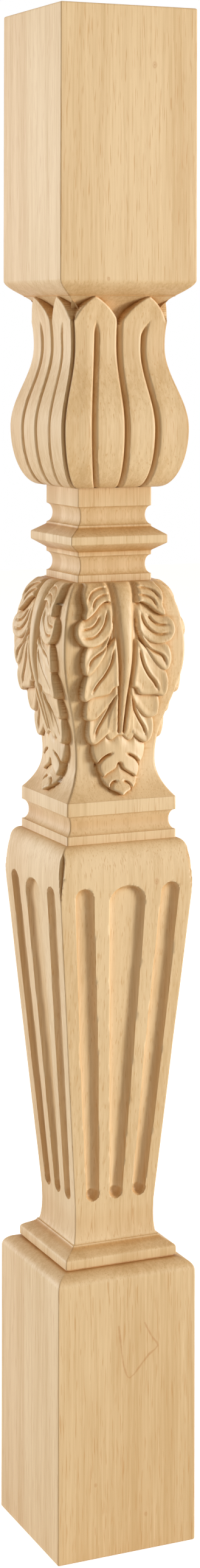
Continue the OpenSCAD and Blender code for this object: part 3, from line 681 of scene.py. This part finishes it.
def nearFigure(make, place):  # distance to the dark line on the front of the lower block, in metres
    best = None
    line = flowing(wood["figureLine"], False, 3).tolist()
    for (x0, z0), (x1, z1) in zip(line, line[1:]):
        run = ((x1 - x0) * mm, 0, (z1 - z0) * mm)
        start = (x0 * mm, 0, z0 * mm)
        away = make.vectors("SUBTRACT", place, start)
        share = make.math("MULTIPLY", make.dot(away, run), 1 / (run[0] ** 2 + run[2] ** 2), clamp=True)
        gap = make.long(make.vectors("SUBTRACT", away, make.scaled(run, share)))
        best = gap if best is None else make.math("MINIMUM", best, gap)
    return best


def knotMarks(make, place, wobble):  # ringed ovals, a little taller than wide
    marks = 0
    for x, z, size in wood["knots"]:
        away = make.vectors("SUBTRACT", place, (x * mm, 0, z * mm))
        gap = make.long(make.vectors("MULTIPLY", away, (1, 1, wood["knotTall"])))
        ring = make.math("COSINE", gap * (2 * math.pi / (wood["knotRings"] * size * mm))) * 0.5 + 0.5
        knot = make.ramp(gap + wobble, (size + wood["knotSoft"]) * mm, wood["soft"] * mm)
        marks = knot * (wood["knotCore"] + ring * (1 - wood["knotCore"])) + marks
    return marks


def rubberwood():
    material = bpy.data.materials.new("rubberwood")
    material.use_nodes = True
    make = Maker(material.node_tree)
    place = make.add("TexCoord", {}, {}, "Object")
    parts = make.add("SeparateXYZ", {}, {"Vector": place})
    y = parts.output("Y")
    board = make.math("GREATER_THAN", y, wood["glueLine"] * mm)
    jump = make.scaled(wood["boardJump"], board)
    moved = make.vectors("ADD", place, jump)  # the back board is cut from another part of the tree
    bands, streaks = make.grain(moved, *wood["bands"]), make.grain(moved, *wood["streaks"])
    drift = make.grain(moved, *wood["drift"])
    pores = make.ramp(make.grain(moved, *wood["pores"]), wood["poreFrom"], wood["poreTo"])
    tone = bands * wood["bandShare"] + streaks * wood["streakShare"] + drift * wood["driftShare"]
    tone = make.ramp(tone, wood["toneFrom"], wood["toneTo"])
    colour = make.blend(tone, wood["pale"], wood["tan"])
    colour = make.blend(pores * wood["poreShare"], colour, wood["pore"])
    # painted shade: the wood is darkened and warmed in carved hollows, standing in for the shade that
    # falls there
    recessShade = make.add("Attribute", dict(attribute_name="recessShade"), {}, "Fac")
    deep = make.math("MULTIPLY", recessShade, wood["recessShadeShare"], clamp=True)
    colour = make.tint(deep, colour, wood["recessShade"])

    front = make.math("LESS_THAN", y, -wood["frontDepth"] * mm)
    flat = make.vectors("MULTIPLY", place, (1, 0, 1))
    wobble = make.grain(place, *wood["wobbles"]) * (wood["wobble"] * mm)
    line = make.ramp(nearFigure(make, flat) + wobble, (wood["figureWidth"] + wood["soft"]) * mm,
                     wood["soft"] * mm)
    knots = make.math("MULTIPLY", front * knotMarks(make, flat, wobble), wood["knotShare"], clamp=True)
    colour = make.blend(front * line * wood["figureShare"], colour, wood["figure"])
    colour = make.blend(knots, colour, wood["figure"])

    facing = make.add("SeparateXYZ", {}, {"Vector": make.add("NewGeometry", {}, {}, "Normal")})
    upward = make.math("ABSOLUTE", facing.output("Z"))
    sideways = make.math("ABSOLUTE", facing.output("X"))
    cutAcross = make.ramp(upward, wood["endGrainFrom"], 1) * wood["endGrainShare"]
    colour = make.tint(cutAcross, colour, wood["endGrain"])
    # painted light: faces turned towards either side are made bluer, standing in for the cool fill light
    # and sheen on them
    colour = make.tint(sideways, colour, wood["sideCoolLight"])
    colour = make.tint(board, colour, wood["backBoard"])
    height = streaks * wood["streakHeight"] + bands * wood["bandHeight"] - pores * wood["poreHeight"]
    bump = make.add("Bump", {}, {"Strength": wood["bump"], "Distance": wood["bumpDepth"] * mm,
                                 "Height": height})
    rough = wood["roughness"] + tone * wood["roughTone"] - pores * wood["roughPore"]
    shader = make.add("BsdfPrincipled", {}, {"Base Color": colour, "Roughness": rough, "Normal": bump,
                                             "Specular IOR Level": wood["sheen"]})
    make.add("OutputMaterial", {}, {"Surface": shader})
    return material


woodFinish = rubberwood()
for piece in (lowerPost, leafVase, upperPost):
    piece.data.materials.clear()
    piece.data.materials.append(woodFinish)
print("wood applied")


studio = dict(
    floorSize=12, floorColour=(0.86, 0.86, 0.85, 1), floorLift=0.82,
    ambient=(1.0, 0.84, 0.60, 1), ambientLevel=0.25,
)
lamps = dict(
    key=dict(place=(3.9, -2.75, 0.95), size=1.6, watts=210, colour=(0.97, 0.99, 1.0)),
    fill=dict(place=(-3.0, 2.4, 1.0), size=1.1, watts=98, colour=(0.93, 0.98, 1.0)),
    above=dict(place=(0, -0.3, 3.6), size=1.6, watts=10, colour=(1, 1, 1)),
)
lampAim = (0, 0, 0.4)
view = dict(
    place=(-0.65842, -1.47864, 0.72140), turn=23.9676, roll=0.00188, lens=61.37, shift=(0.00184, -0.2887),
)


def seenRays(make):  # 1 for what the camera sees, straight, mirrored or through glass
    camera = make.add("LightPath", {}, {}, "Is Camera Ray")
    seen = make.math("MAXIMUM", camera, camera.output("Is Glossy Ray"))
    return make.math("MAXIMUM", seen, camera.output("Is Transmission Ray"))


def stageFloor():
    half = studio["floorSize"] / 2
    corners = [(-half, -half, 0), (half, -half, 0), (half, half, 0), (-half, half, 0)]
    mesh = bpy.data.meshes.new("floor")
    mesh.from_pydata(corners, [], [(0, 1, 2, 3)])
    floor = bpy.data.objects.new("floor", mesh)
    bpy.context.scene.collection.objects.link(floor)
    paint = bpy.data.materials.new("floor_paint")
    paint.use_nodes = True
    make = Maker(paint.node_tree)
    lift = seenRays(make) * studio["floorLift"]  # keeps the floor pale where the camera sees it
    matt = make.add("BsdfDiffuse", {}, {"Color": studio["floorColour"]})
    glow = make.add("Emission", {}, {"Color": (1, 1, 1, 1), "Strength": lift})
    both = make.add("AddShader", {}, {0: matt, 1: glow})
    make.add("OutputMaterial", {}, {"Surface": both})
    mesh.materials.append(paint)


def hangLamp(name, spec):
    lamp = bpy.data.lights.new(name, "AREA")
    lamp.shape = "DISK"
    lamp.size, lamp.energy, lamp.color = spec["size"], spec["watts"], spec["colour"]
    holder = bpy.data.objects.new(name, lamp)
    bpy.context.scene.collection.objects.link(holder)
    holder.location = spec["place"]
    away = holder.location - type(holder.location)(lampAim)
    holder.rotation_euler = away.to_track_quat("Z", "Y").to_euler()


def lightRoom():
    world = bpy.data.worlds.new("studio")
    world.use_nodes = True
    bpy.context.scene.world = world
    make = Maker(world.node_tree)
    room = make.add("Background", {}, {"Color": studio["ambient"], "Strength": studio["ambientLevel"]})
    backdrop = make.add("Background", {}, {"Color": (1, 1, 1, 1), "Strength": 1})
    both = make.add("MixShader", {}, {0: seenRays(make), 1: room, 2: backdrop})
    make.add("OutputWorld", {}, {"Surface": both})
    for name, spec in lamps.items():
        hangLamp(name, spec)


def setCamera():
    lens = bpy.data.cameras.new("camera")
    lens.lens, lens.sensor_width = view["lens"], 36
    lens.shift_x, lens.shift_y = view["shift"]
    lens.clip_start, lens.clip_end = 0.05, 40
    camera = bpy.data.objects.new("camera", lens)
    bpy.context.scene.collection.objects.link(camera)
    camera.location = view["place"]
    camera.rotation_mode = "XYZ"
    camera.rotation_euler = (math.pi / 2, 0, -math.radians(view["turn"]))
    camera.rotation_euler.rotate_axis("Z", view["roll"])
    bpy.context.scene.camera = camera


stageFloor()
lightRoom()
setCamera()
bpy.context.scene.view_settings.view_transform = "Standard"
print("studio ready")
